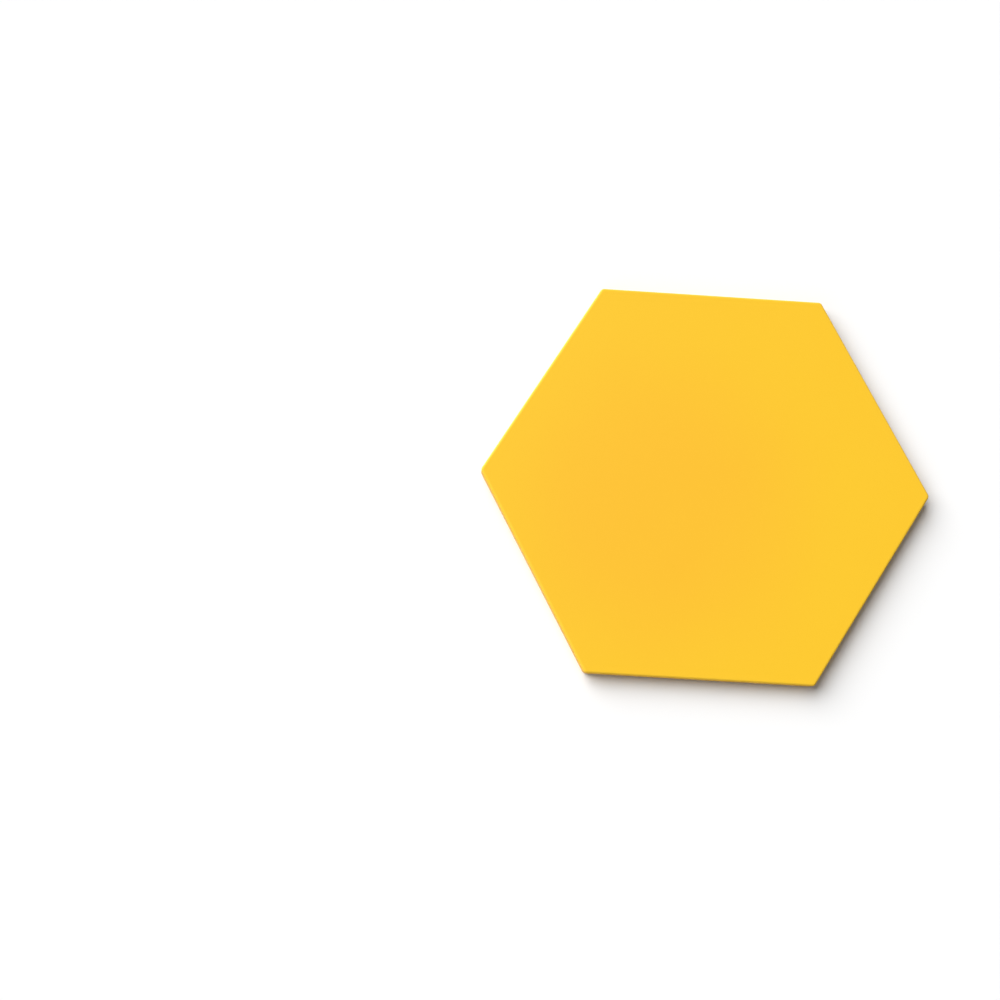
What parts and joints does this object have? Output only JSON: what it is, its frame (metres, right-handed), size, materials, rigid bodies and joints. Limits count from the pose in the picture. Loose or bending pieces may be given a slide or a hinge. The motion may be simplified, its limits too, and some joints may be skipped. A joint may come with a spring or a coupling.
{
  "type": "hexagonal aluminium ceiling panel",
  "caption": "Hexagonal folded aluminium ceiling panel with a plain yellow face, inward return lips, corner gussets, stiffening channels and slotted hanging lugs.",
  "frame": {"origin": "middle of the back, on the plane of the return lips", "axes": "+Z out of the visible face; +X through a corner of the hexagon; +Y through the middle of a side"},
  "size_m": [0.5982, 0.5196, 0.025],
  "materials": {
    "yellow_powder_coat": "satin",
    "mill_aluminium": "satin",
    "drawn_aluminium": "satin",
    "zinc_plate": "satin"
  },
  "bodies": {
    "root": {"face_tray": "yellow_powder_coat", "corner_gusset_1": "mill_aluminium", "corner_gusset_2": "mill_aluminium", "corner_gusset_3": "mill_aluminium", "corner_gusset_4": "mill_aluminium", "corner_gusset_5": "mill_aluminium", "corner_gusset_6": "mill_aluminium", "gusset_rivet_1": "drawn_aluminium", "gusset_rivet_2": "drawn_aluminium", "gusset_rivet_3": "drawn_aluminium", "gusset_rivet_4": "drawn_aluminium", "gusset_rivet_5": "drawn_aluminium", "gusset_rivet_6": "drawn_aluminium", "gusset_rivet_7": "drawn_aluminium", "gusset_rivet_8": "drawn_aluminium", "gusset_rivet_9": "drawn_aluminium", "gusset_rivet_10": "drawn_aluminium", "gusset_rivet_11": "drawn_aluminium", "gusset_rivet_12": "drawn_aluminium", "hanging_lug_1": "mill_aluminium", "hanging_lug_2": "mill_aluminium", "hanging_lug_3": "mill_aluminium", "hanging_lug_4": "mill_aluminium", "hanging_lug_5": "mill_aluminium", "hanging_lug_6": "mill_aluminium", "lug_rivet_1": "drawn_aluminium", "lug_rivet_2": "drawn_aluminium", "lug_rivet_3": "drawn_aluminium", "lug_rivet_4": "drawn_aluminium", "lug_rivet_5": "drawn_aluminium", "lug_rivet_6": "drawn_aluminium", "lug_rivet_7": "drawn_aluminium", "lug_rivet_8": "drawn_aluminium", "lug_rivet_9": "drawn_aluminium", "lug_rivet_10": "drawn_aluminium", "lug_rivet_11": "drawn_aluminium", "lug_rivet_12": "drawn_aluminium", "stiffener_1": "mill_aluminium", "stiffener_2": "mill_aluminium", "weld_stud_1": "drawn_aluminium", "weld_stud_2": "drawn_aluminium", "weld_stud_3": "drawn_aluminium", "weld_stud_4": "drawn_aluminium", "weld_stud_5": "drawn_aluminium", "weld_stud_6": "drawn_aluminium", "flange_nut_1": "zinc_plate", "flange_nut_2": "zinc_plate", "flange_nut_3": "zinc_plate", "flange_nut_4": "zinc_plate", "flange_nut_5": "zinc_plate", "flange_nut_6": "zinc_plate"}
  },
  "joints": []
}
